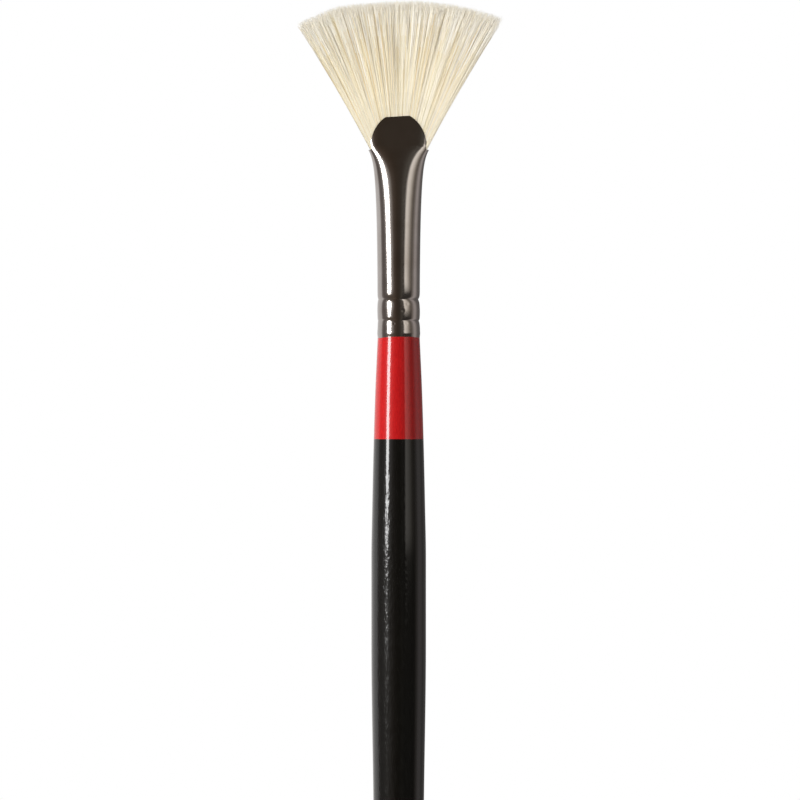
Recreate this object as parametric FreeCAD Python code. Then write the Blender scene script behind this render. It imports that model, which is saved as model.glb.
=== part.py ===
import FreeCAD, Part
import math
import os

# A long-handled bristle fan brush, standing with its bristles up.
# Millimetres. +Z runs along the brush towards the bristle tips, X is across the fan
# and Y is through its thickness. The origin is on the brush's axis, in the middle of
# the straight stretch of the handle's belly, where the brush is held.

V = FreeCAD.Vector

# ---- handle ---------------------------------------------------------------------
BELLY_RADIUS = 4.1
BELLY_HALF_LENGTH = 6.5        # half the straight, cylindrical stretch of the belly
TAIL_LENGTH = 220.5            # origin to the tip of the tail
TAIL_TIP_RADIUS = 2.0
# Heights on the shoulder, and how much wider than the ferrule the handle is there.
SHOULDER_SWELL = ((31.5, 0.36), (22.5, 0.63), (13.5, 0.83))
# Heights on the tail, and how much narrower than the belly the handle is there.
TAIL_TAPER = ((-28.0, 0.27), (-62.0, 0.78), (-112.0, 1.42), (-165.0, 1.86))
NECK_SLOPE = 0.047             # outward lean of the outline where it leaves the ferrule
TAIL_TIP_SLOPE = 0.003         # inward lean of the outline where the rounded tip starts
COLOUR_COAT = 0.15             # thickness of the red and the black lacquer
SEALING_COAT = 0.10

# ---- ferrule --------------------------------------------------------------------
FERRULE_BASE = 39.5            # height of its lower edge, on the handle's shoulder
FERRULE_LENGTH = 33.15         # up to the top of the domed mouth
TUBE_RADIUS = 3.15
WALL = 0.3
CRIMP_HEIGHTS = (2.5, 5.7)     # the two crimps, measured from the lower edge
CRIMP_DEPTH = 0.16
CRIMP_RUN_OUT = 0.7            # from the upper crimp to the plain tube
BEAD_SAG = 0.03                # how far a bead between crimps stays inside the plain tube
FORMED_FROM = 12.0             # where the formed stretch starts, measured the same way
ROUND_START = 1.0              # the formed stretch is still round over this length
DOME_HEIGHT = 5.1              # from the mouth's two ears to the top of its dome
DOME_RISE = 5.5                # the same if the dome's top were not cut straight
DOME_HALF_WIDTH = 4.3
MOUTH_HALF_WIDTH = 4.55        # at the ears, just outside the dome
MOUTH_HALF_DEPTH = 1.05
EAR_FLARE = ((0.6, 6.5), (0.4, 1.3))   # shares of the flare, and the run each fades over
MOUTH_WIDENING = 0.12          # how much the sides go on leaning out above the ears
FLAT_FOOT = 0.6                # the front and back are flat plates from this far above the ears
FLAT_DEEPENING = 3.4           # how far out the pressed faces curve below that
FLAT_RUN = 5.5                 # the run that they curve over
RIDGE_SHARPNESS = 8            # how sharply a pressed face meets the rounded side
SECTION_POINTS = 32
LOFT_STEPS = 12                # sections from the round tube to the ears
LOFT_CROWDING = 1.4            # above 1, the sections crowd towards the ears

# ---- bristles -------------------------------------------------------------------
FAN_APEX_DROP = 13.15          # the bristles' lines meet this far below the dome's top
FAN_HALF_ANGLE = 28.9          # degrees
FAN_TOP = 89.9                 # height of the tips, on the axis
FAN_CORNER = 87.1              # height of the tips, at the two corners
SHEET_HALF_DEPTH = 0.65        # half the thickness of the sheet of bristles in the mouth
FAN_HALF_DEPTH = 1.0           # the same at its thickest, above the mouth
TIP_HALF_DEPTH = 0.6
FAN_THICKEST = 80.0            # height of the fan's thickest level
FLEX_GAP = 0.3                 # between the fixed roots and the bending fan

# ---- inside the ferrule ---------------------------------------------------------
GLUE_FILM = 0.10
TENON_LENGTH = 11.0
PLUG_HEIGHTS = (13.5, 17.0)    # the epoxy plug, measured from the ferrule's lower edge
THREAD_RADIUS = 0.18
THREAD_TURNS = 5
THREAD_START = 17.4            # the lowest turn, measured from the ferrule's lower edge
THREAD_CLEARANCE = 0.55        # between the thread and the ferrule's round bore
THREAD_SLIMNESS = 0.98         # keeps neighbouring turns just apart

# ---- worked out from the above --------------------------------------------------
DOME_TOP = FERRULE_BASE + FERRULE_LENGTH
EAR_LEVEL = DOME_TOP - DOME_HEIGHT
BORE_RADIUS = TUBE_RADIUS - WALL
RED_EDGE = FERRULE_BASE - 15.3   # where the red lacquer gives way to the black
FLEX_AXIS = DOME_TOP + FLEX_GAP + SHEET_HALF_DEPTH
FAN_APEX = DOME_TOP - FAN_APEX_DROP
FAR = 20.0                       # well outside the brush's sides, for cutting shapes
OVERRUN = 1.0                    # how far a shape runs past the one that trims it
TINY = 1e-6


# ---- helpers --------------------------------------------------------------------
def smooth_curve(points, start_tangent, end_tangent):
    """An edge that passes smoothly through the points."""
    curve = Part.BSplineCurve()
    curve.interpolate(Points=points, InitialTangent=start_tangent, FinalTangent=end_tangent)
    return curve.toShape()


def line(start, end):
    return Part.LineSegment(start, end).toShape()


def lines_through(points):
    return [line(start, end) for start, end in zip(points, points[1:])]


def arc(start, middle, end):
    return Part.Arc(start, middle, end).toShape()


def revolve_about_z(edges, low, high):
    """Close a half profile along the axis and turn it about Z."""
    top = edges[0].Vertexes[0].Point
    bottom = edges[-1].Vertexes[-1].Point
    closing = lines_through([V(0, 0, low), V(0, 0, high), top])
    if bottom.x > TINY:
        closing.insert(0, line(bottom, V(0, 0, low)))
    face = Part.Face(Part.Wire(edges + closing))
    return face.revolve(V(0, 0, 0), V(0, 0, 1), 360)


def prism_through_y(edges, half_depth):
    """Extrude a closed outline in the XZ plane to both sides of it."""
    face = Part.Face(Part.Wire(edges))
    face.translate(V(0, -half_depth, 0))
    return face.extrude(V(0, 2 * half_depth, 0))


def block(x_range, y_range, z_range):
    size = [high - low for low, high in (x_range, y_range, z_range)]
    corner = V(x_range[0], y_range[0], z_range[0])
    return Part.makeBox(size[0], size[1], size[2], corner)


# ---- handle ---------------------------------------------------------------------
def turned_handle(depth):
    """The handle's solid below the ferrule, with `depth` taken off its outer surface."""
    belly = BELLY_RADIUS - depth
    neck = TUBE_RADIUS - depth
    tip = TAIL_TIP_RADIUS - depth
    tip_centre = -TAIL_LENGTH + TAIL_TIP_RADIUS
    belly_top = V(belly, 0, BELLY_HALF_LENGTH)
    belly_foot = V(belly, 0, -BELLY_HALF_LENGTH)
    tail_foot = V(tip, 0, tip_centre)
    swell = [V(neck + wider, 0, height) for height, wider in SHOULDER_SWELL]
    taper = [V(belly - narrower, 0, height) for height, narrower in TAIL_TAPER]
    shoulder = smooth_curve([V(neck, 0, FERRULE_BASE)] + swell + [belly_top],
                            V(NECK_SLOPE, 0, -1), V(0, 0, -1))
    grip = line(belly_top, belly_foot)
    tail = smooth_curve([belly_foot] + taper + [tail_foot],
                        V(0, 0, -1), V(-TAIL_TIP_SLOPE, 0, -1))
    half_way = tip * math.sqrt(0.5)
    rounded_tip = arc(tail_foot, V(half_way, 0, tip_centre - half_way), V(0, 0, tip_centre - tip))
    return revolve_about_z([shoulder, grip, tail, rounded_tip], tip_centre - tip, FERRULE_BASE)


def make_handle_core():
    blank = turned_handle(COLOUR_COAT + SEALING_COAT)
    return blank.fuse(crimped_cylinder(BORE_RADIUS - GLUE_FILM, TENON_LENGTH)).removeSplitter()


def make_sealing_coat():
    return turned_handle(COLOUR_COAT).cut(turned_handle(COLOUR_COAT + SEALING_COAT))


def make_colour_coat(low, high):
    coat = turned_handle(0).cut(turned_handle(COLOUR_COAT))
    return coat.common(block((-FAR, FAR), (-FAR, FAR), (low, high)))


# ---- ferrule --------------------------------------------------------------------
def crimped_cylinder(radius, length):
    """A rod on the ferrule's axis, from its lower edge up, waisted by the two crimps.

    Below, between and above the crimps the wall swells back out in rounded beads.
    """
    low_crimp, high_crimp = [FERRULE_BASE + height for height in CRIMP_HEIGHTS]
    waist = radius - CRIMP_DEPTH
    bead = radius - BEAD_SAG
    lip = radius - CRIMP_DEPTH / 3
    top = V(radius, 0, FERRULE_BASE + length)
    plain_foot = V(radius, 0, high_crimp + CRIMP_RUN_OUT)
    plain = line(top, plain_foot)
    run_out = line(plain_foot, V(waist, 0, high_crimp))
    upper_bead = arc(V(waist, 0, high_crimp), V(bead, 0, (high_crimp + low_crimp) / 2),
                     V(waist, 0, low_crimp))
    lower_bead = arc(V(waist, 0, low_crimp), V(bead, 0, (low_crimp + FERRULE_BASE) / 2),
                     V(lip, 0, FERRULE_BASE))
    return revolve_about_z([plain, run_out, upper_bead, lower_bead], FERRULE_BASE, top.z)


def formed_half_width(height):
    """Half the ferrule's width where it is pressed; it flares towards the ears."""
    if height > EAR_LEVEL:
        return MOUTH_HALF_WIDTH + MOUTH_WIDENING * (height - EAR_LEVEL)
    flared = sum(share * math.exp((height - EAR_LEVEL) / run) for share, run in EAR_FLARE)
    return TUBE_RADIUS + flared * (MOUTH_HALF_WIDTH - TUBE_RADIUS)


def pressed_half_depth(height):
    """Half the distance between the pressed front and back, which curve out below the mouth."""
    below = max(0, EAR_LEVEL + FLAT_FOOT - height)
    return MOUTH_HALF_DEPTH + FLAT_DEEPENING * (1 - math.exp(-below / FLAT_RUN))


def formed_section(height, inset):
    """The ferrule's closed outline at one height, `inset` inside its outer surface.

    It is an ellipse that keeps the round tube's girth, cut front and back by the two
    pressed faces. The faces are blended into the ellipse to leave a rounded ridge.
    """
    half_width = formed_half_width(height) - inset
    half_depth = 2 * TUBE_RADIUS - formed_half_width(min(height, EAR_LEVEL)) - inset
    pressed = pressed_half_depth(height) - inset
    points = []
    for step in range(SECTION_POINTS):
        angle = 2 * math.pi * step / SECTION_POINTS
        across = half_width * math.cos(angle)
        through = half_depth * math.sin(angle)
        shrink = (1 + abs(through / pressed) ** RIDGE_SHARPNESS) ** (-1 / RIDGE_SHARPNESS)
        points.append(V(across * shrink, through * shrink, height))
    curve = Part.BSplineCurve()
    curve.interpolate(Points=points, PeriodicFlag=True)
    return Part.Wire(curve.toShape())


def formed_rod(inset):
    """The pressed stretch as a solid rod, from the round tube to above the dome."""
    radius = TUBE_RADIUS - inset
    start = FERRULE_BASE + FORMED_FROM
    round_end = Part.makeCylinder(radius, ROUND_START, V(0, 0, start))
    round_top = Part.Circle(V(0, 0, start + ROUND_START), V(0, 0, 1), radius)
    to_ears = EAR_LEVEL - start
    levels = [EAR_LEVEL - to_ears * (1 - step / LOFT_STEPS) ** LOFT_CROWDING
              for step in range(1, LOFT_STEPS + 1)]
    levels += [EAR_LEVEL + FLAT_FOOT, (EAR_LEVEL + DOME_TOP) / 2, DOME_TOP + OVERRUN / 2]
    wires = [Part.Wire(round_top.toShape())]
    wires += [formed_section(level, inset) for level in levels]
    return round_end.fuse(Part.makeLoft(wires, True, True))


def under_the_dome():
    """Everything below the mouth's edge: half an ellipse whose top is cut straight."""
    dome = Part.Ellipse(V(0, 0, EAR_LEVEL + DOME_RISE), V(DOME_HALF_WIDTH, 0, EAR_LEVEL),
                        V(0, 0, EAR_LEVEL))
    quarter = math.pi / 2
    edge = dome.toShape(-quarter, quarter)
    left, right = sorted((vertex.Point for vertex in edge.Vertexes), key=lambda point: point.x)
    floor = FERRULE_BASE - OVERRUN
    outline = [right, V(FAR, 0, EAR_LEVEL), V(FAR, 0, floor), V(-FAR, 0, floor),
               V(-FAR, 0, EAR_LEVEL), left]
    below_ellipse = prism_through_y([edge] + lines_through(outline), FAR)
    return below_ellipse.common(block((-FAR, FAR), (-FAR, FAR), (floor, DOME_TOP)))


def ferrule_rod(inset):
    """The whole ferrule as a solid rod, `inset` inside its outer surface."""
    lower = crimped_cylinder(TUBE_RADIUS - inset, FORMED_FROM)
    return lower.fuse(formed_rod(inset)).removeSplitter()


def make_ferrule():
    tube = ferrule_rod(0).cut(ferrule_rod(WALL))
    return tube.common(under_the_dome())


# ---- inside the ferrule ---------------------------------------------------------
def make_handle_adhesive():
    bore = crimped_cylinder(BORE_RADIUS, TENON_LENGTH)
    return bore.cut(crimped_cylinder(BORE_RADIUS - GLUE_FILM, TENON_LENGTH))


def make_root_epoxy():
    low, high = PLUG_HEIGHTS
    plug = Part.makeCylinder(BORE_RADIUS + OVERRUN, high - low, V(0, 0, FERRULE_BASE + low))
    return plug.common(formed_rod(WALL))


def thread_heights():
    first = FERRULE_BASE + THREAD_START
    return [first + turn * 2 * THREAD_RADIUS for turn in range(THREAD_TURNS)]


def tied_radius():
    """The bundle's radius where the thread holds it, with the thread clear of the ferrule."""
    return BORE_RADIUS - THREAD_CLEARANCE - 2 * THREAD_RADIUS


def make_binding_thread():
    thickness = THREAD_RADIUS * THREAD_SLIMNESS
    turns = [Part.makeTorus(tied_radius() + THREAD_RADIUS, thickness, V(0, 0, height))
             for height in thread_heights()]
    return Part.makeCompound(turns)


# ---- bristles -------------------------------------------------------------------
def fan_half_width(height):
    return (height - FAN_APEX) * math.tan(math.radians(FAN_HALF_ANGLE))


def fan_blank(low):
    """The fan's outline, from a level up to the curved line of the tips."""
    half_width = fan_half_width(FAN_CORNER)
    left, right = V(-half_width, 0, FAN_CORNER), V(half_width, 0, FAN_CORNER)
    foot = fan_half_width(low)
    tips = arc(left, V(0, 0, FAN_TOP), right)
    sides = lines_through([right, V(foot, 0, low), V(-foot, 0, low), left])
    return prism_through_y([tips] + sides, FAR)


def make_bristle_roots():
    """The held bristles, and the two wings of them that come out below the dome's top."""
    bundle_foot = FERRULE_BASE + PLUG_HEIGHTS[1]
    tied_top = thread_heights()[-1] + 2 * THREAD_RADIUS
    tied = Part.makeCylinder(tied_radius(), tied_top - bundle_foot, V(0, 0, bundle_foot))
    above_tie = block((-FAR, FAR), (-FAR, FAR), (tied_top, DOME_TOP))
    held = formed_rod(WALL).common(under_the_dome()).common(above_tie)
    sheet = block((-FAR, FAR), (-SHEET_HALF_DEPTH, SHEET_HALF_DEPTH), (EAR_LEVEL, DOME_TOP))
    wings = sheet.common(fan_blank(EAR_LEVEL)).cut(under_the_dome())
    return held.fuse(tied).fuse(wings)


def make_bristle_fan():
    """The free bristles; the foot is round about the line that they bend on."""
    top = FAN_TOP + OVERRUN
    back = [V(0, SHEET_HALF_DEPTH, FLEX_AXIS), V(0, FAN_HALF_DEPTH, FAN_THICKEST),
            V(0, TIP_HALF_DEPTH, top)]
    front = [V(0, -point.y, point.z) for point in back]
    foot = arc(front[0], V(0, 0, FLEX_AXIS - SHEET_HALF_DEPTH), back[0])
    lid = line(back[-1], front[-1])
    section = Part.Face(Part.Wire([foot, arc(*back), lid, arc(*front)]))
    section.translate(V(-FAR, 0, 0))
    slab = section.extrude(V(2 * FAR, 0, 0))
    return slab.common(fan_blank(FLEX_AXIS - SHEET_HALF_DEPTH))


# ---- writing the parts ----------------------------------------------------------
NODES = {
    "handle_core": make_handle_core(),
    "sealing_coat": make_sealing_coat(),
    "black_lacquer": make_colour_coat(-TAIL_LENGTH - OVERRUN, RED_EDGE),
    "red_lacquer": make_colour_coat(RED_EDGE, FERRULE_BASE),
    "ferrule": make_ferrule(),
    "handle_adhesive": make_handle_adhesive(),
    "root_epoxy": make_root_epoxy(),
    "binding_thread": make_binding_thread(),
    "bristle_roots": make_bristle_roots(),
    "bristle_fan": make_bristle_fan(),
}

os.makedirs("parts", exist_ok=True)
for name, shape in NODES.items():
    box = shape.BoundBox
    print(f"{name:16s} solids {len(shape.Solids)} valid {shape.isValid()} volume {shape.Volume:.1f}")
    print(f"    x {box.XMin:.2f}..{box.XMax:.2f} y {box.YMin:.2f}..{box.YMax:.2f}"
          f" z {box.ZMin:.2f}..{box.ZMax:.2f}")
    shape.exportStep(f"parts/{name}.step")
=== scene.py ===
import math
import random

import bpy
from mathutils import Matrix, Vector, noise


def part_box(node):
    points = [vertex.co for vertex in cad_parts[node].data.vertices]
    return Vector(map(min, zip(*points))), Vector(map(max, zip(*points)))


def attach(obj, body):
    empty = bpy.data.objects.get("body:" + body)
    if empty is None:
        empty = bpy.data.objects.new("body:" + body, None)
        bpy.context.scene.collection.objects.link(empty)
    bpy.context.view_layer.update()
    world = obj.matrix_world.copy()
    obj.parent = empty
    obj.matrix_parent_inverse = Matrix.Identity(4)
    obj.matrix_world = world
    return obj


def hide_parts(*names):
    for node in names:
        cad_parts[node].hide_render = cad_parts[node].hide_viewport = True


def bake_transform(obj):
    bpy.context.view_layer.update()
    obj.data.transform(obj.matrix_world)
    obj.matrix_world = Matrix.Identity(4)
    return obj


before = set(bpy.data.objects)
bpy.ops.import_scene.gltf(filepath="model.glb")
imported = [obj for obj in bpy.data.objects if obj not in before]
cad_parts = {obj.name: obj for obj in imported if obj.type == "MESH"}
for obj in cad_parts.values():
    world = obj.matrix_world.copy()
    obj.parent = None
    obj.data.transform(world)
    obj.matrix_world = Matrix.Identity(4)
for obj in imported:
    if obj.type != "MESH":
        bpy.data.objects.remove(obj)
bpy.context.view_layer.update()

# A bristle fan brush, standing with its bristles up. Metres, in the CAD model's frame:
# +Z along the brush towards the bristle tips, X across the fan, Y through its thickness.

MM = 0.001

# ---- places read from the frame --------------------------------------------------
FERRULE_LOW, FERRULE_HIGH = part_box("ferrule")
BLACK_LOW, BLACK_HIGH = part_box("black_lacquer")
FERRULE_BASE = FERRULE_LOW.z
DOME_TOP = FERRULE_HIGH.z
MOUTH_HALF_WIDTH = FERRULE_HIGH.x
TUBE_RADIUS = FERRULE_HIGH.y
RED_EDGE = BLACK_HIGH.z
TAIL_END = BLACK_LOW.z
BELLY_RADIUS = BLACK_HIGH.x
FAN_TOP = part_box("bristle_fan")[1].z
PLUG_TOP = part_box("root_epoxy")[1].z

# ---- ferrule ---------------------------------------------------------------------
WALL = 0.3 * MM
DOME_HEIGHT = 5.1 * MM
DOME_RISE = 5.5 * MM                  # the dome's height if its top were not cut straight
DOME_HALF_WIDTH = 4.3 * MM
DOME_CUT_HALF_WIDTH = 1.6 * MM
DOME_CUT_SLOPE = 0.06                  # how far the dome's cut is from level
EAR_LEVEL = DOME_TOP - DOME_HEIGHT
EAR_FLARE = ((0.6, 6.5 * MM), (0.4, 1.3 * MM))
MOUTH_WIDENING = 0.12
MOUTH_HALF_DEPTH = 1.05 * MM
FLAT_FOOT = 0.6 * MM
FLAT_DEEPENING = 3.4 * MM
FLAT_RUN = 5.5 * MM
RIDGE_SHARPNESS = 8
CRIMP_TOP = FERRULE_BASE + 7.5 * MM
ROUND_RUN = 8 * MM                     # the pressing sets in over this length above the crimps
BASE_DIP = 0.22 * MM                   # how far the lower edge dips at the two sides
FERRULE_COLUMNS = 256
RINGS_TO_LOW_CRIMP = 36
RINGS_BETWEEN_CRIMPS = 48
RINGS_TO_CRIMP_TOP = 28
RINGS_TO_MOUTH = 120
MOUTH_CROWDING = 1.5                   # above 1, the rings crowd towards the mouth
INNER_WALL_STEP = 4                    # the hidden inner wall keeps one point in four

# ---- bristles --------------------------------------------------------------------
FAN_APEX = DOME_TOP - 13.15 * MM      # where the bristles' lines meet
FAN_HALF_ANGLE = math.radians(28.9)
MOUTH_SHEET_HALF_DEPTH = 0.6 * MM
FAN_HALF_DEPTH = 0.95 * MM
BRISTLE_COUNT = 2900
BRISTLE_RADIUS = 0.053 * MM
BRISTLE_SIDES = 4
BRISTLE_STEPS = 11
BRISTLE_SEED = 41
CLUMP_WIDTH = math.radians(1.5)        # neighbouring tips within this angle draw together
STRAY = math.radians(0.35)
HIDDEN_LENGTH = 1.6 * MM               # how far the single bristles reach down into the mouth
EVEN_SHORTFALL = 0.2 * MM              # how far a usual tip falls short of the fan's outline
SHORT_SHARE = 0.12                     # the share of bristles that are clearly shorter
TIGHT_ROOTS = 0.945                    # the mouth squeezes the bristles' spread to this share
DEPTH_SHARE, DEPTH_CROWDING = 0.95, 1.9    # most bristles lie near the two faces of the fan
SHORTEST_STEP = 0.03                   # of a bristle's free length
FLAG_STEPS = 3
FLAG_SPREAD = 0.09 * MM
FLAG_RADII = (1, 0.9, 0.7, 0.25)       # along a flag, as shares of its own radius


# ---- mesh helpers ----------------------------------------------------------------
SEARCH_ROUNDS = 30                     # halvings until a height or a reach is found
SHARP_EDGE = math.radians(38)
STRAND_EDGE = math.radians(175)        # strands are shaded round, though they have few sides


def make_object(name, vertices, faces, material_indices=None, sharp_edge=SHARP_EDGE):
    mesh = bpy.data.meshes.new(name)
    mesh.from_pydata(vertices, [], faces)
    mesh.polygons.foreach_set("use_smooth", [True] * len(faces))
    if material_indices:
        mesh.polygons.foreach_set("material_index", material_indices)
    mesh.update()
    mesh.set_sharp_from_angle(angle=sharp_edge)
    piece = bpy.data.objects.new(name, mesh)
    bpy.context.scene.collection.objects.link(piece)
    return piece


def bridge_rings(rings, looped=False):
    """Vertices and faces of a skin over rings of equally many points.

    A looped skin joins its last ring to its first; any other has a flat lid at both ends.
    """
    count = len(rings[0])
    vertices = [point for ring in rings for point in ring]
    faces = []
    pairs = list(zip(range(len(rings) - 1), range(1, len(rings))))
    if looped:
        pairs.append((len(rings) - 1, 0))
    for low, high in pairs:
        for side in range(count):
            after = (side + 1) % count
            faces.append((low * count + side, low * count + after,
                          high * count + after, high * count + side))
    if not looped:
        faces.append(tuple(reversed(range(count))))
        last = (len(rings) - 1) * count
        faces.append(tuple(last + side for side in range(count)))
    return vertices, faces


def ring_about_z(radius, height, count):
    return [Vector((radius * math.cos(2 * math.pi * k / count),
                    radius * math.sin(2 * math.pi * k / count), height)) for k in range(count)]


def smoothstep(low, high, value):
    share = min(1.0, max(0.0, (value - low) / (high - low)))
    return share * share * (3 - 2 * share)


# ---- material helpers ------------------------------------------------------------
def new_material(name):
    material = bpy.data.materials.new(name)
    material.use_nodes = True
    tree = material.node_tree
    return material, tree.nodes, tree.links, tree.nodes["Principled BSDF"]


def set_values(shader, **values):
    for name, value in values.items():
        shader.inputs[name.replace("_", " ")].default_value = value


def noise_from_object(nodes, links, scale, stretch=(1, 1, 1), detail=3.0):
    """A noise texture in the piece's own coordinates; scale is in cells per metre."""
    place = nodes.new("ShaderNodeTexCoord")
    mapping = nodes.new("ShaderNodeMapping")
    mapping.inputs["Scale"].default_value = stretch
    texture = nodes.new("ShaderNodeTexNoise")
    texture.inputs["Scale"].default_value = scale
    texture.inputs["Detail"].default_value = detail
    links.new(place.outputs["Object"], mapping.inputs["Vector"])
    links.new(mapping.outputs["Vector"], texture.inputs["Vector"])
    return texture.outputs["Fac"]


def colour_ramp(nodes, links, value, stops):
    ramp = nodes.new("ShaderNodeValToRGB")
    elements = ramp.color_ramp.elements
    while len(elements) < len(stops):
        elements.new(0.5)
    for element, (position, colour) in zip(elements, stops):
        element.position = position
        element.color = (*colour, 1)
    links.new(value, ramp.inputs["Fac"])
    return ramp.outputs["Color"]


def number_range(nodes, links, value, low, high):
    """Maps a 0 to 1 value into low to high."""
    mapped = nodes.new("ShaderNodeMapRange")
    mapped.inputs["To Min"].default_value = low
    mapped.inputs["To Max"].default_value = high
    links.new(value, mapped.inputs["Value"])
    return mapped.outputs["Result"]


def calculate(nodes, links, operation, *values):
    """The result of a Math node, from values that are sockets or plain numbers."""
    node = nodes.new("ShaderNodeMath")
    node.operation = operation
    for value, socket in zip(values, node.inputs):
        if isinstance(value, (int, float)):
            socket.default_value = value
        else:
            links.new(value, socket)
    return node.outputs["Value"]


def share_between(nodes, links, value, low, high):
    """Maps low to high into 0 to 1."""
    mapped = nodes.new("ShaderNodeMapRange")
    mapped.inputs["From Min"].default_value = low
    mapped.inputs["From Max"].default_value = high
    links.new(value, mapped.inputs["Value"])
    return mapped.outputs["Result"]


def add_bump(nodes, links, shader, height, strength):
    bump = nodes.new("ShaderNodeBump")
    bump.inputs["Strength"].default_value = strength
    bump.inputs["Distance"].default_value = BUMP_DEPTH
    links.new(height, bump.inputs["Height"])
    links.new(bump.outputs["Normal"], shader.inputs["Normal"])
    links.new(bump.outputs["Normal"], shader.inputs["Coat Normal"])


# ---- materials -------------------------------------------------------------------
BUMP_DEPTH = 0.05 * MM
DIMPLE_SCALE = 2300                    # noise cells per metre
STREAK_RIGHT = (1.5 * MM, 0.0)         # the dimpled streak sets in over this stretch of X,
STREAK_LEFT = (-3.4 * MM, -2.7 * MM)   # and over this one at its other side
DIMPLED_FROM = 14 * MM                 # the black coat is fully dimpled this far below the red


def nickel_material():
    material, nodes, links, shader = new_material("dark_nickel")
    set_values(shader, Metallic=1.0)
    tarnish = noise_from_object(nodes, links, 260, detail=4)
    links.new(colour_ramp(nodes, links, tarnish, [
        (0.35, (0.47, 0.435, 0.41)), (0.62, (0.53, 0.50, 0.48))]), shader.inputs["Base Color"])
    polishing = noise_from_object(nodes, links, 250, stretch=(2, 2, 0.5), detail=2)
    links.new(number_range(nodes, links, polishing, 0.12, 0.18), shader.inputs["Roughness"])
    return material


def lacquer_material(name, colours, fleck, coat_roughness, dimples, levels):
    """A clear-coated lacquer: a mottle of two colours, at a scale of `fleck`, under a gloss coat.

    The coat is smooth above the first of the two levels. Below the second it has fine dimples,
    of strength `dimples`, along a broad streak left of the middle.
    """
    material, nodes, links, shader = new_material(name)
    set_values(shader, Roughness=0.4, Coat_Weight=1.0, Coat_Roughness=coat_roughness, Coat_IOR=1.5,
               Specular_IOR_Level=0.1)
    mottle = noise_from_object(nodes, links, fleck, stretch=(1, 1, 0.4), detail=6)
    links.new(colour_ramp(nodes, links, mottle, list(zip((0.3, 0.7), colours))),
              shader.inputs["Base Color"])
    grain = noise_from_object(nodes, links, DIMPLE_SCALE, stretch=(1, 1, 0.45), detail=3)
    place = nodes.new("ShaderNodeTexCoord")
    parts = nodes.new("ShaderNodeSeparateXYZ")
    links.new(place.outputs["Object"], parts.inputs["Vector"])
    lower = share_between(nodes, links, parts.outputs["Z"], *levels)
    left = share_between(nodes, links, parts.outputs["X"], *STREAK_RIGHT)
    off_edge = share_between(nodes, links, parts.outputs["X"], *STREAK_LEFT)
    streak = calculate(nodes, links, "MULTIPLY", left, off_edge)
    where = calculate(nodes, links, "MULTIPLY", streak, lower)
    dimpled = calculate(nodes, links, "MULTIPLY", where, grain)
    add_bump(nodes, links, shader, dimpled, dimples)
    return material


def red_material():
    return lacquer_material("red_lacquer", ((0.40, 0.004, 0.006), (0.50, 0.008, 0.008)), fleck=5000,
                            coat_roughness=0.10, dimples=0.05, levels=(FERRULE_BASE, RED_EDGE))


def black_material():
    return lacquer_material("black_lacquer", ((0.0018, 0.0018, 0.0014), (0.0034, 0.0034, 0.0028)),
                            fleck=1500, coat_roughness=0.03, dimples=0.9,
                            levels=(RED_EDGE, RED_EDGE - DIMPLED_FROM))


BRISTLE_TONES = {
    "ivory": (0.92, 0.855, 0.705),
    "cream": (0.91, 0.84, 0.65),
    "straw": (0.895, 0.795, 0.57),
    "honey": (0.86, 0.715, 0.46),
    "stone": (0.88, 0.82, 0.68),
    "smoke": (0.84, 0.775, 0.65),
}
BRISTLE_ZONES = ("root", "middle", "tip")
ROOT_SHADE = 0.94
# The tips' pale colour is partly the bristles' own paler ends and partly painted light, for the light
# that passes through the thin tips.
PALE_LIT_TIP_COLOUR = (1.0, 0.975, 0.905)
PALE_LIT_TIP_SHARE = 0.7                      # the pale tip colour's share in the colour of the tips


def bristle_materials():
    """One material for each tone of bristle in each zone of its length."""
    made = []
    for tone, colour in BRISTLE_TONES.items():
        for zone in BRISTLE_ZONES:
            if zone == "root":
                shade = [channel * ROOT_SHADE for channel in colour]
            elif zone == "tip":
                # Paler tips: partly their own colour, partly painted light.
                shade = [(1 - PALE_LIT_TIP_SHARE) * channel + PALE_LIT_TIP_SHARE * tint
                         for channel, tint in zip(colour, PALE_LIT_TIP_COLOUR)]
            else:
                shade = colour
            material, _, _, shader = new_material(f"bristle_{tone}_{zone}")
            set_values(shader, Base_Color=(*shade, 1), Roughness=0.45, Specular_IOR_Level=0.4)
            made.append(material)
    return made


def grained_material(name, dark, light, scale, stretch, roughness, bump):
    """A patterned material for the pieces that the ferrule and the coats enclose."""
    material, nodes, links, shader = new_material(name)
    set_values(shader, Roughness=roughness)
    pattern = noise_from_object(nodes, links, scale, stretch=stretch, detail=5)
    links.new(colour_ramp(nodes, links, pattern, [(0.3, dark), (0.7, light)]),
              shader.inputs["Base Color"])
    add_bump(nodes, links, shader, pattern, bump)
    return material


def give_material(node, material):
    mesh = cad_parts[node].data
    mesh.materials.clear()
    mesh.materials.append(material)


def finish_enclosed_nodes():
    give_material("handle_core", grained_material(
        "birch", (0.60, 0.42, 0.24), (0.80, 0.64, 0.43), 900, (1, 1, 0.08), 0.6, 0.3))
    give_material("sealing_coat", grained_material(
        "primer", (0.55, 0.53, 0.49), (0.66, 0.64, 0.60), 2500, (1, 1, 1), 0.75, 0.2))
    give_material("handle_adhesive", grained_material(
        "glue", (0.66, 0.58, 0.38), (0.80, 0.74, 0.56), 1200, (1, 1, 0.5), 0.4, 0.3))
    give_material("root_epoxy", grained_material(
        "epoxy", (0.55, 0.38, 0.16), (0.74, 0.58, 0.32), 800, (1, 1, 1), 0.15, 0.1))
    give_material("binding_thread", grained_material(
        "thread", (0.70, 0.66, 0.57), (0.88, 0.85, 0.78), 4000, (1, 1, 3), 0.85, 0.6))


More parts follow.
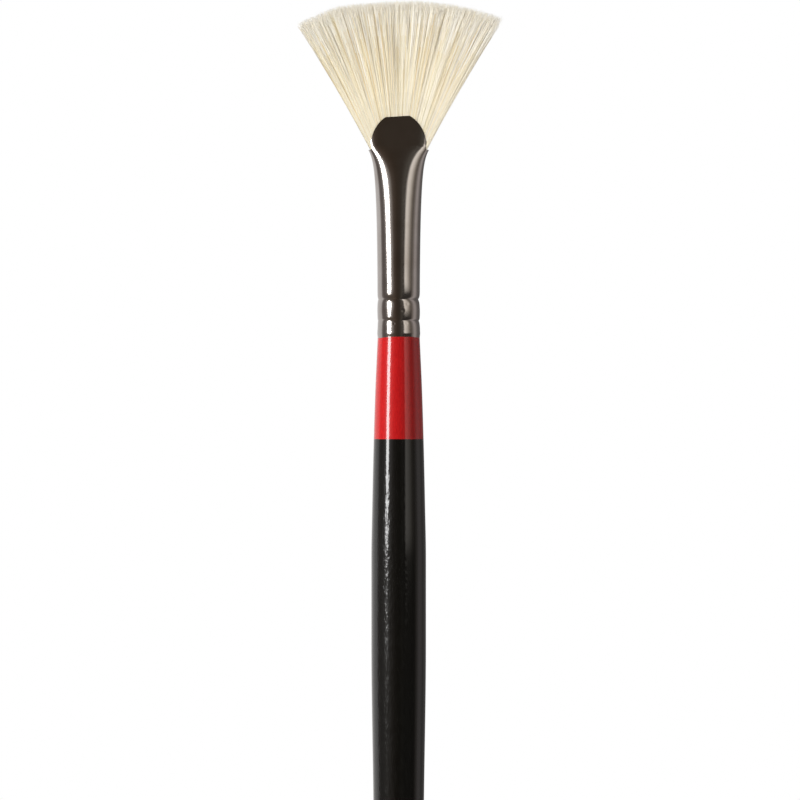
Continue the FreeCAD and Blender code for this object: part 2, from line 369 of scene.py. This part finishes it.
# ---- handle ----------------------------------------------------------------------
# Points of the outline in millimetres: height, and radius less the neck's or the belly's.
SHOULDER_SWELL = [(39.5, 0.0), (31.5, 0.36), (22.5, 0.63), (13.5, 0.83), (6.5, 0.95)]
TAIL_TAPER = [(-6.5, 0.0), (-28.0, -0.27), (-62.0, -0.78), (-112.0, -1.42), (-165.0, -1.86),
              (-218.5, -2.1)]
TAIL_TIP_RADIUS = 2.0 * MM
COAT = 0.15 * MM
LEAST_RADIUS = 0.02 * MM
HANDLE_SIDES = 128
TIP_RINGS = 14
TAIL_RINGS = 300
RED_RINGS = 60


def through_points(points, value, flat_start=False):
    """A smooth curve through (place, amount) points whose places fall.

    Its slope at the first point is that of the first stretch, or none.
    """
    count = len(points)
    for index in range(count - 1):
        (x0, y0), (x1, y1) = points[index], points[index + 1]
        if value >= x1 or index == count - 2:
            break
    before = points[max(0, index - 1)]
    after = points[min(count - 1, index + 2)]
    step = x1 - x0
    slope0 = (y1 - before[1]) / (x1 - before[0])
    if index == 0 and flat_start:
        slope0 = 0.0
    slope1 = (after[1] - y0) / (after[0] - x0) if index < count - 2 else 0.0
    t = (value - x0) / step
    return ((2 * t ** 3 - 3 * t ** 2 + 1) * y0 + (t ** 3 - 2 * t ** 2 + t) * step * slope0
            + (-2 * t ** 3 + 3 * t ** 2) * y1 + (t ** 3 - t ** 2) * step * slope1)


def handle_radius(height):
    level = height / MM
    if level > SHOULDER_SWELL[-1][0]:
        return TUBE_RADIUS + through_points(SHOULDER_SWELL, level) * MM
    if level > TAIL_TAPER[0][0]:
        return BELLY_RADIUS
    tip_centre = TAIL_END + TAIL_TIP_RADIUS
    if height > tip_centre:
        return BELLY_RADIUS + through_points(TAIL_TAPER, level, flat_start=True) * MM
    return math.sqrt(max(0.0, TAIL_TIP_RADIUS ** 2 - (tip_centre - height) ** 2))


def coat_rings(levels):
    """The outer skin from the lowest level up, then the inner skin back down."""
    outer = [ring_about_z(handle_radius(level), level, HANDLE_SIDES) for level in levels]
    inner = []
    for level in reversed(levels):
        inside = max(handle_radius(level) - COAT, LEAST_RADIUS)
        inner.append(ring_about_z(inside, max(level, TAIL_END + COAT), HANDLE_SIDES))
    return outer + inner


def spaced(low, high, count):
    return [low + (high - low) * step / count for step in range(count + 1)]


def make_black_lacquer():
    tip_levels = [TAIL_END + TAIL_TIP_RADIUS * (1 - math.cos(math.pi / 2 * step / TIP_RINGS))
                  for step in range(1, TIP_RINGS)]
    tail_levels = spaced(TAIL_END + TAIL_TIP_RADIUS, RED_EDGE, TAIL_RINGS)
    vertices, faces = bridge_rings(coat_rings(tip_levels + tail_levels))
    piece = make_object("black_lacquer_coat", vertices, faces)
    piece.data.materials.append(black_material())
    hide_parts("black_lacquer")
    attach(piece, "handle")


def make_red_lacquer():
    vertices, faces = bridge_rings(coat_rings(spaced(RED_EDGE, FERRULE_BASE, RED_RINGS)), looped=True)
    piece = make_object("red_lacquer_band", vertices, faces)
    piece.data.materials.append(red_material())
    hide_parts("red_lacquer")
    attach(piece, "handle")


# ---- ferrule ---------------------------------------------------------------------
def formed_half_width(height):
    """Half the ferrule's width; it flares towards the two ears of its mouth."""
    if height > EAR_LEVEL:
        return MOUTH_HALF_WIDTH + MOUTH_WIDENING * (height - EAR_LEVEL)
    flared = sum(share * math.exp((height - EAR_LEVEL) / run) for share, run in EAR_FLARE)
    return TUBE_RADIUS + flared * (MOUTH_HALF_WIDTH - TUBE_RADIUS)


def pressed_half_depth(height):
    """Half the distance between the pressed front and back, which curve out below the mouth."""
    below = max(0.0, EAR_LEVEL + FLAT_FOOT - height)
    return MOUTH_HALF_DEPTH + FLAT_DEEPENING * (1 - math.exp(-below / FLAT_RUN))


# The next three tables are in millimetres, with heights from the ferrule's lower edge.
# Each crimp: height, reach of its groove upwards and downwards, and the groove's depth.
CRIMPS = ((5.65, 0.30, 0.42, 0.20), (2.47, 0.17, 0.38, 0.12))
# Each bead that swells between the crimps: height, half width, and how far it stands out.
BEADS = ((4.1, 1.0, 0.03), (1.2, 0.7, 0.03), (0.5, 0.35, 0.04))
# Each small dent: degrees from the front, height, half width in degrees and up, and depth.
DENTS = ((12, 3.9, 4, 0.25, 0.03), (-13, 1.95, 3, 0.12, 0.03), (24, 4.9, 5, 0.25, 0.03),
         (22, 2.0, 4, 0.2, 0.02), (-95, 1.6, 14, 0.5, 0.03), (104, 4.4, 16, 0.4, 0.03),
         (165, 4.6, 18, 0.4, 0.03), (-150, 1.4, 12, 0.4, 0.03))
JAW_SIDE = 55                          # degrees from the front where the jaws bit deepest


def crimp_height(middle, angle):
    """The height of a crimp's groove, which wanders a little on its way round."""
    wander = 0.04 * math.sin(2 * angle) + 0.02 * math.sin(5 * angle)
    return FERRULE_BASE + (middle + wander) * MM


def crimping(height, angle):
    """How far the crimping jaws pushed the wall in, at a height and an angle from +X."""
    level = (height - FERRULE_BASE) / MM
    from_front = math.degrees(angle) + 90
    bite = 1 + 0.4 * math.cos(math.radians(from_front - JAW_SIDE))
    pushed = 0.0
    for middle, reach_up, reach_down, depth in CRIMPS:
        above = (height - crimp_height(middle, angle)) / MM
        reach = reach_up if above > 0 else reach_down
        pushed += depth * bite * math.exp(-abs(above) / reach)
    for middle, half_width, swell in BEADS:
        pushed -= swell * math.exp(-((level - middle) / half_width) ** 2)
    for degrees, middle, half_turn, half_width, depth in DENTS:
        turned = (from_front - degrees + 180) % 360 - 180
        pushed += depth * math.exp(-(turned / half_turn) ** 2 - ((level - middle) / half_width) ** 2)
    return pushed * MM


DRAWING_WAVES = 0.004 * MM
CRIMPING_WAVES = 0.012 * MM


def unevenness(height, angle):
    """Slight waves left by drawing and forming the tube, strongest near the crimps."""
    place = Vector((math.cos(angle) * 1.6, math.sin(angle) * 1.6, height / MM * 0.5))
    near_crimps = 1 - smoothstep(CRIMP_TOP, CRIMP_TOP + 3 * MM, height)
    return noise.noise(place) * (DRAWING_WAVES + CRIMPING_WAVES * near_crimps)


def ferrule_point(height, angle, inset):
    dent = inset + crimping(height, angle) + unevenness(height, angle)
    half_width = formed_half_width(height) - dent
    half_depth = 2 * TUBE_RADIUS - formed_half_width(min(height, EAR_LEVEL)) - dent
    pressed = pressed_half_depth(height) - dent
    across = half_width * math.cos(angle)
    through = half_depth * math.sin(angle)
    shrink = (1 + abs(through / pressed) ** RIDGE_SHARPNESS) ** (-1 / RIDGE_SHARPNESS)
    # Low on the tube the wall is plain and round, so the pressing fades out there.
    shrink += (1 - shrink) * (1 - smoothstep(CRIMP_TOP, CRIMP_TOP + ROUND_RUN, height))
    return Vector((across * shrink, through * shrink, height))


def dome_edge(across):
    """The height of the mouth's edge, at a distance across: an ellipse with its top cut.

    The cut is not quite level.
    """
    share = across / DOME_HALF_WIDTH
    cut = DOME_TOP - DOME_CUT_SLOPE * (DOME_CUT_HALF_WIDTH - across)
    return min(cut, EAR_LEVEL + DOME_RISE * math.sqrt(max(0.0, 1 - share * share)))


def mouth_height(angle):
    """The height at which the wall at this angle meets the mouth's edge."""
    low, high = EAR_LEVEL, DOME_TOP
    for _ in range(SEARCH_ROUNDS):
        middle = (low + high) / 2
        if dome_edge(ferrule_point(middle, angle, 0).x) > middle:
            low = middle
        else:
            high = middle
    return low


def base_height(angle):
    """The lower edge dips a little at the sides."""
    return FERRULE_BASE - BASE_DIP * math.cos(angle) ** 2


def ferrule_column(angle, inset):
    """Points up one side of the tube, from the lower edge to the mouth."""
    rise = mouth_height(angle) - CRIMP_TOP
    high_crimp, low_crimp = [crimp_height(crimp[0], angle) for crimp in CRIMPS]
    heights = spaced(base_height(angle), low_crimp, RINGS_TO_LOW_CRIMP)
    heights += spaced(low_crimp, high_crimp, RINGS_BETWEEN_CRIMPS)[1:]
    heights += spaced(high_crimp, CRIMP_TOP, RINGS_TO_CRIMP_TOP)[1:]
    for step in range(1, RINGS_TO_MOUTH + 1):
        share = 1 - (1 - step / RINGS_TO_MOUTH) ** MOUTH_CROWDING
        heights.append(CRIMP_TOP + rise * share)
    return [ferrule_point(height, angle, inset) for height in heights]


def make_ferrule():
    columns = []
    for index in range(FERRULE_COLUMNS):
        angle = 2 * math.pi * (index + 0.5) / FERRULE_COLUMNS
        outer = ferrule_column(angle, 0)
        inner = ferrule_column(angle, WALL)
        columns.append(outer + inner[::-INNER_WALL_STEP])
    rings = [[column[level] for column in columns] for level in range(len(columns[0]))]
    vertices, faces = bridge_rings(rings, looped=True)
    piece = make_object("formed_ferrule", vertices, faces)
    piece.data.materials.append(nickel_material())
    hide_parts("ferrule")
    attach(piece, "handle")


# ---- bristles --------------------------------------------------------------------
def dome_reach(angle):
    """Distance from the fan's apex to the mouth's edge along a bristle's line."""
    low, high = (EAR_LEVEL - FAN_APEX) * 0.8, (DOME_TOP - FAN_APEX) * 1.2
    for _ in range(SEARCH_ROUNDS):
        middle = (low + high) / 2
        if FAN_APEX + middle * math.cos(angle) < dome_edge(middle * math.sin(angle)):
            low = middle
        else:
            high = middle
    return low


# What is added to the fan's height to give the reach of its tips: everywhere, growing towards
# the right, and growing towards both edges.
TIP_RISE, TIP_LEAN, TIP_DISH = 0.10 * MM, 0.45 * MM, 1.05 * MM
# A tuft that stands out: its place and half width, as shares of the half fan, and its height.
TUFT_PLACE, TUFT_HALF_WIDTH, TUFT_RISE = -0.6, 0.22, 0.42 * MM


def tip_reach(angle):
    """Distance from the fan's apex to its curved line of tips."""
    share = angle / FAN_HALF_ANGLE
    longer = TIP_RISE + TIP_LEAN * share + TIP_DISH * share ** 2
    tuft = TUFT_RISE * math.exp(-((share - TUFT_PLACE) / TUFT_HALF_WIDTH) ** 2)
    return (FAN_TOP - FAN_APEX) + longer + tuft


def sheet_half_depth(share):
    """Half the fan's thickness along the bristles, from the mouth to the tips."""
    swell = math.sin(math.pi * min(1.0, share * 0.9)) ** 0.8
    return MOUTH_SHEET_HALF_DEPTH + (FAN_HALF_DEPTH - MOUTH_SHEET_HALF_DEPTH) * swell


def bristle_line(draw, angle, depth):
    """The centre line of one bristle, as (point, share of its free length) pairs."""
    clump_centre = (math.floor(angle / CLUMP_WIDTH) + 0.5) * CLUMP_WIDTH
    pull = draw.uniform(0.0, 0.35)
    end_angle = angle + pull * (clump_centre - angle) + draw.gauss(0, STRAY)
    start = dome_reach(angle) - HIDDEN_LENGTH
    shortfall = abs(draw.gauss(0, EVEN_SHORTFALL))
    clearly_short = draw.random() < SHORT_SHARE
    shortfall += clearly_short * draw.uniform(0.3, 1.8) * MM
    end = tip_reach(end_angle) - shortfall
    wave = draw.uniform(-0.07, 0.07) * MM
    turns = draw.uniform(0.6, 1.4)
    phase = draw.uniform(0, 2 * math.pi)
    lean = draw.gauss(0, 0.06) * MM
    line = []
    for step in range(BRISTLE_STEPS + 1):
        share = step / BRISTLE_STEPS
        reach = start + (end - start) * share
        spread = TIGHT_ROOTS + (1 - TIGHT_ROOTS) * share
        here = angle * spread + (end_angle - angle) * share ** 1.4
        sideways = wave * math.sin(turns * math.pi * share + phase) * share
        y = depth * sheet_half_depth(share) + lean * share ** 2
        x = reach * math.sin(here) + sideways * math.cos(here)
        z = FAN_APEX + reach * math.cos(here) - sideways * math.sin(here)
        line.append((Vector((x, y, z)), share))
    return line, end_angle


class BristleMesh:
    """Gathers the vertices, faces and tones of many bristles for one piece."""

    def __init__(self):
        self.vertices = []
        self.faces = []
        self.tones = []

    def add_strand(self, centres, radii, angle, tones):
        """A tapered strand; tones gives a material index for each stretch."""
        sides = BRISTLE_SIDES
        across = Vector((math.cos(angle), 0, -math.sin(angle)))
        through = Vector((0, 1, 0))
        first = len(self.vertices)
        for centre, radius in zip(centres, radii):
            for side in range(sides):
                around = 2 * math.pi * side / sides
                outward = across * math.cos(around) + through * math.sin(around)
                self.vertices.append(centre + outward * radius)
        for ring in range(len(centres) - 1):
            base = first + ring * sides
            for side in range(sides):
                after = (side + 1) % sides
                self.faces.append((base + side, base + sides + side,
                                   base + sides + after, base + after))
                self.tones.append(tones[ring])
        last = first + (len(centres) - 1) * sides
        self.faces.append(tuple(first + side for side in range(sides)))
        self.faces.append(tuple(last + side for side in reversed(range(sides))))
        self.tones += [tones[0], tones[-1]]


HONEY_PLACE, HONEY_HALF_WIDTH = -13, 7     # degrees
PAINTED_SHADE_EDGE = (20, 28)                       # degrees: stone and smoke gather beyond this, as painted shade on the fan's right side


def pick_tone(draw, angle):
    """Tones gather into streaks across the fan, with more honey left of the middle and, as painted
    shade, more stone and smoke towards the right edge.
    """
    degrees = math.degrees(angle)
    broad = noise.noise(Vector((degrees * 0.55, 3.1, 0)))
    narrow = noise.noise(Vector((degrees * 1.7, 9.7, 0)))
    streak = broad + 0.6 * narrow
    value = streak + draw.gauss(0, 0.42)
    honey_chance = 0.06 + 0.12 * math.exp(-((degrees - HONEY_PLACE) / HONEY_HALF_WIDTH) ** 2)
    if draw.random() < honey_chance:
        return "honey"
    # Painted shade: beyond the edge, more bristles take the grey stone and smoke tones, standing in
    # for the shadow on the fan's right side.
    painted_right_shade = smoothstep(*PAINTED_SHADE_EDGE, degrees)
    if draw.random() < 0.10 + 0.45 * painted_right_shade:
        return draw.choice(("stone", "smoke"))
    if value > 0.35:
        return "ivory"
    if value > -0.25:
        return "cream"
    return "straw"


def add_bristle(meshes, draw, angle, depth):
    line, end_angle = bristle_line(draw, angle, depth)
    third = 0 if angle < -FAN_HALF_ANGLE / 3 else (1 if angle < FAN_HALF_ANGLE / 3 else 2)
    mesh = meshes[third]
    tone = list(BRISTLE_TONES).index(pick_tone(draw, angle)) * len(BRISTLE_ZONES)
    thick = BRISTLE_RADIUS * draw.uniform(0.75, 1.25)
    flag_start = draw.uniform(0.90, 0.985)
    kept = [(point, share) for point, share in line if share < flag_start - SHORTEST_STEP]
    last_point, last_share = kept[-1]
    onward = (flag_start - last_share) / (1 - last_share)
    kept.append((last_point.lerp(line[-1][0], onward), flag_start))
    centres = [point for point, _ in kept]
    shares = [share for _, share in kept]
    radii = [thick * (1 - 0.3 * share ** 1.5) for share in shares]
    root_end, tip_start = draw.gauss(0.2, 0.05), draw.gauss(0.72, 0.14)
    tones = [tone + (share > root_end) + (share > tip_start) for share in shares]
    mesh.add_strand(centres, radii, end_angle, tones)
    tip_tone = tone + BRISTLE_ZONES.index("tip")
    add_flags(mesh, draw, centres[-2], line[-1][0], radii[-1], end_angle, tip_tone)


def add_flags(mesh, draw, start, tip, radius, angle, tone):
    """The bristle's split end: one or two finer strands, which start inside the bristle."""
    across = Vector((math.cos(angle), 0, -math.sin(angle)))
    for _ in range(draw.choice((1, 2, 2))):
        spread = across * draw.gauss(0, FLAG_SPREAD) + Vector((0, draw.gauss(0, FLAG_SPREAD), 0))
        end = start + (tip - start) * draw.uniform(0.9, 1.03) + spread
        points = []
        for step in range(FLAG_STEPS + 1):
            share = step / FLAG_STEPS
            points.append(start + (end - start) * share - spread * (share - share ** 2) * 0.6)
        fine = radius * draw.uniform(0.5, 0.65)
        radii = [fine * share for share in FLAG_RADII]
        mesh.add_strand(points, radii, angle, [tone] * len(points))


def make_bristles():
    draw = random.Random(BRISTLE_SEED)
    meshes = [BristleMesh() for _ in range(3)]
    for index in range(BRISTLE_COUNT):
        share = (index + draw.random()) / BRISTLE_COUNT * 2 - 1
        angle = FAN_HALF_ANGLE * share
        face = draw.choice((-1, 1))
        depth = face * (1 - DEPTH_SHARE * draw.random() ** DEPTH_CROWDING)
        add_bristle(meshes, draw, angle, depth)
    materials = bristle_materials()
    pieces = []
    for name, gathered in zip(("bristles_left", "bristles_middle", "bristles_right"), meshes):
        piece = make_object(name, gathered.vertices, gathered.faces, gathered.tones, STRAND_EDGE)
        for material in materials:
            piece.data.materials.append(material)
        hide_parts("bristle_fan", "bristle_roots")
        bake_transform(piece)
        pieces.append(piece)
    return pieces


BUNDLE_SIDES = 144
BUNDLE_RINGS = 40
BUNDLE_FLUTES = 36
BUNDLE_RISE = 1.5 * MM                 # above the ferrule's ears
HALF_FLUTE_DEPTH = 0.05 * MM
BUNDLE_GAP = 0.02 * MM                 # between the bundle and the ferrule's bore
TIE_HEIGHT = 1.2 * MM                  # the thread's middle, above the epoxy plug
TIE_HALF_WIDTH = 1.0 * MM
TIE_DEPTH = 0.6 * MM


def make_root_bundle():
    """The held bristles inside the ferrule, as a fluted bundle with a waist under the thread."""
    rings = []
    for height in spaced(PLUG_TOP, EAR_LEVEL + BUNDLE_RISE, BUNDLE_RINGS):
        from_tie = (height - PLUG_TOP - TIE_HEIGHT) / TIE_HALF_WIDTH
        tied = TIE_DEPTH * math.exp(-from_tie ** 4)
        ring = []
        for index in range(BUNDLE_SIDES):
            angle = 2 * math.pi * index / BUNDLE_SIDES
            flute = HALF_FLUTE_DEPTH * (1 + math.cos(angle * BUNDLE_FLUTES)) + BUNDLE_GAP
            ring.append(ferrule_point(height, angle, WALL + flute + tied))
        rings.append(ring)
    vertices, faces = bridge_rings(rings)
    piece = make_object("root_bundle", vertices, faces)
    piece.data.materials.append(grained_material(
        "held_bristle", (0.74, 0.66, 0.48), (0.90, 0.84, 0.70), 5000, (1, 1, 0.05), 0.5, 0.4))
    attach(piece, "handle")


# ---- studio ----------------------------------------------------------------------
AMBIENT = (0.26, 0.255, 0.25)
# Degrees from the front of the brush, negative to the left, and the light from there.
STUDIO_STRETCHES = (
    (-180, (0.84, 0.82, 0.81)), (-107, (0.76, 0.74, 0.73)), (-99, (0.24, 0.21, 0.20)),
    (-88, (0.16, 0.14, 0.13)), (-72, (0.15, 0.13, 0.12)), (-60, (0.14, 0.115, 0.09)),
    (-31, (0.12, 0.09, 0.068)), (-20, (0.085, 0.062, 0.046)), (-8, (0.055, 0.04, 0.028)),
    (8, (0.055, 0.045, 0.036)), (18, (0.11, 0.10, 0.085)), (23, (0.09, 0.08, 0.07)),
    (27, (0.03, 0.025, 0.02)), (33, (1.25, 1.18, 1.08)), (44, (0.96, 0.90, 0.82)),
    (53, (0.62, 0.57, 0.50)), (62, (0.28, 0.245, 0.21)), (72, (0.16, 0.14, 0.12)),
    (84, (0.30, 0.27, 0.25)), (93, (0.50, 0.46, 0.45)), (104, (0.46, 0.42, 0.41)),
    (121, (0.18, 0.17, 0.165)), (170, (0.15, 0.14, 0.14)), (180, (0.84, 0.82, 0.81)))
TABLE_EDGE = (0.05, 0.045, 0.04)
TABLE_FROM = (14.4, 25.2)              # degrees: the table's edge sets in over this stretch,
TABLE_TO = (68.4, 79.2)                # and ends over this one
TABLE_RISES = (-0.035, 0.02)           # sines of the elevations between which it fades out


def compass_share(degrees):
    """Where a direction stands in the full circle, from 0 to 1, with the front in the middle."""
    return (degrees + 180) / 360


def make_world():
    """A studio all round the brush, as light and dark stretches by compass direction.

    Reflections see the stretches, diffuse bounces an even grey, and the camera plain white.
    """
    world = bpy.data.worlds.new("studio")
    world.use_nodes = True
    bpy.context.scene.world = world
    nodes, links = world.node_tree.nodes, world.node_tree.links
    place = nodes.new("ShaderNodeTexCoord")
    parts = nodes.new("ShaderNodeSeparateXYZ")
    links.new(place.outputs["Generated"], parts.inputs["Vector"])
    frontward = calculate(nodes, links, "MULTIPLY", parts.outputs["Y"], -1)
    turn = calculate(nodes, links, "ARCTAN2", parts.outputs["X"], frontward)
    compass = share_between(nodes, links, turn, -math.pi, math.pi)
    stops = [(compass_share(degrees), colour) for degrees, colour in STUDIO_STRETCHES]
    studio = colour_ramp(nodes, links, compass, stops)
    studio = add_table_edge(nodes, links, parts.outputs["Z"], compass, studio)
    path = nodes.new("ShaderNodeLightPath")
    bounced = mix_colours(nodes, links, path.outputs["Is Diffuse Ray"], studio, AMBIENT)
    seen = mix_colours(nodes, links, path.outputs["Is Camera Ray"], bounced, (1, 1, 1))
    links.new(seen, nodes["Background"].inputs["Color"])


def add_table_edge(nodes, links, rise, compass, studio):
    """The bright stretches on the right end a little below level, over a dark table edge."""
    level = share_between(nodes, links, rise, *TABLE_RISES)
    begun = share_between(nodes, links, compass, *map(compass_share, TABLE_FROM))
    ended = share_between(nodes, links, compass, *map(compass_share, TABLE_TO))
    within = calculate(nodes, links, "SUBTRACT", begun, ended)
    below = calculate(nodes, links, "MULTIPLY_ADD", level, -1, 1)
    amount = calculate(nodes, links, "MULTIPLY", below, within)
    return mix_colours(nodes, links, amount, studio, TABLE_EDGE)


def mix_colours(nodes, links, share, first, second):
    """The first colour, a socket, where the share is 0, and the plain second one where it is 1."""
    mix = nodes.new("ShaderNodeMix")
    mix.data_type = "RGBA"
    colours = [socket for socket in mix.inputs if socket.type == "RGBA"]
    links.new(share, mix.inputs["Factor"])
    links.new(first, colours[0])
    colours[1].default_value = (*second, 1)
    return [socket for socket in mix.outputs if socket.type == "RGBA"][0]


def add_softbox(name, degrees, distance, height, width, tall, radiance, glossy=True):
    """An oval softbox at a compass direction, level with a height, facing the brush.

    Only a glossy one shows in reflections.
    """
    light = bpy.data.lights.new(name, "AREA")
    light.shape = "ELLIPSE"
    light.size = width
    light.size_y = tall
    area = math.pi / 4 * width * tall
    light.energy = radiance * math.pi * area
    holder = bpy.data.objects.new(name, light)
    angle = math.radians(degrees)
    holder.location = (distance * math.sin(angle), -distance * math.cos(angle), height)
    holder.rotation_euler = (math.pi / 2, 0, angle)
    holder.visible_camera = False
    holder.visible_glossy = glossy
    bpy.context.scene.collection.objects.link(holder)
    return holder


def light_only(lamp, pieces, state):
    """Has a lamp light just these pieces, or everything but these pieces."""
    lit = bpy.data.collections.new(f"lit_by_{lamp.name}")
    for piece in pieces:
        lit.objects.link(piece)
    for member in lit.collection_objects:
        member.light_linking.link_state = state
    lamp.light_linking.receiver_collection = lit


def make_lights(bristles):
    """The key lamps and the top one leave out the bristles, which have lamps of their own.

    The fill lamp behind lights everything.
    """
    # Each lamp's compass degrees, distance, height, width, length and radiance.
    lamps = [
        add_softbox("key_core", -52, 0.69, 0.185, 0.21, 0.37, 16.0),
        add_softbox("key_surround", -53, 0.70, 0.20, 0.40, 0.44, 0.5),
        add_softbox("key_glow", -48, 0.71, 0.20, 0.60, 0.50, 0.12),
        add_softbox("key_tail", -53, 0.69, -0.03, 0.09, 0.08, 1.0),
        add_softbox("key_spread", -66, 0.80, 0.45, 0.40, 0.40, 16.0, glossy=False),
        add_softbox("top_right", 36, 0.55, 0.72, 0.34, 0.24, 0.16)]
    for lamp in lamps:
        light_only(lamp, bristles, "EXCLUDE")
    bristle_lamps = [
        add_softbox("bristle_light", -20, 0.95, 0.45, 1.40, 1.00, 2.3, glossy=False),
        add_softbox("bristle_fill", 36, 0.95, 0.45, 1.40, 1.00, 1.4, glossy=False),
        add_softbox("bristle_back", 195, 0.95, 0.45, 1.40, 1.00, 1.8, glossy=False)]
    for lamp in bristle_lamps:
        light_only(lamp, bristles, "INCLUDE")
    add_softbox("back_fill", 180, 1.20, 0.35, 1.20, 1.00, 3.0, glossy=False)


FLOOR_SIDES = 96
FLOOR_RADIUS = 0.75
FLOOR_SOLID_RADIUS = 0.15              # the floor starts to fade out from here
FLOOR_FADED_SHARE = 0.98               # of its radius, where it is gone
FLOOR_GAP = 0.05 * MM                  # under the tail


def make_floor():
    """A pale disc under the tail that fades out into the white surround."""
    ring = ring_about_z(FLOOR_RADIUS, 0, FLOOR_SIDES)
    floor = make_object("floor", ring, [tuple(range(FLOOR_SIDES))], sharp_edge=0.0)
    floor.location.z = TAIL_END - FLOOR_GAP
    material, nodes, links, shader = new_material("pale_floor")
    set_values(shader, Base_Color=(0.86, 0.86, 0.85, 1), Roughness=0.8, Specular_IOR_Level=0.2)
    place = nodes.new("ShaderNodeTexCoord")
    reach = nodes.new("ShaderNodeVectorMath")
    reach.operation = "LENGTH"
    links.new(place.outputs["Object"], reach.inputs[0])
    fade = nodes.new("ShaderNodeMapRange")
    fade.interpolation_type = "SMOOTHSTEP"
    fade.inputs["From Min"].default_value = FLOOR_SOLID_RADIUS
    fade.inputs["From Max"].default_value = FLOOR_RADIUS * FLOOR_FADED_SHARE
    fade.inputs["To Min"].default_value = 1
    fade.inputs["To Max"].default_value = 0
    links.new(reach.outputs["Value"], fade.inputs["Value"])
    links.new(fade.outputs["Result"], shader.inputs["Alpha"])
    floor.data.materials.append(material)
    floor.visible_glossy = False


SEEN_HEIGHT = 120 * MM                 # the stretch of the brush that fills the picture
CAMERA_DISTANCE = 0.9
CAMERA_ASIDE = 0.2 * MM
HEADROOM = 0.15 * MM                   # above the tips


def make_camera():
    """Level with the brush, from far in front, with the tips at the top of the picture."""
    data = bpy.data.cameras.new("camera")
    data.sensor_width = 36
    data.lens = data.sensor_width * CAMERA_DISTANCE / SEEN_HEIGHT
    data.clip_start, data.clip_end = 0.01, 20
    camera = bpy.data.objects.new("camera", data)
    camera.location = (CAMERA_ASIDE, -CAMERA_DISTANCE, FAN_TOP + HEADROOM - SEEN_HEIGHT / 2)
    camera.rotation_euler = (math.pi / 2, 0, 0)
    bpy.context.scene.collection.objects.link(camera)
    bpy.context.scene.camera = camera


bpy.context.scene.view_settings.view_transform = "Standard"
bpy.context.scene.cycles.diffuse_bounces = 12
finish_enclosed_nodes()
make_black_lacquer()
make_red_lacquer()
make_ferrule()
make_root_bundle()
bristles = make_bristles()
make_world()
make_lights(bristles)
make_floor()
make_camera()
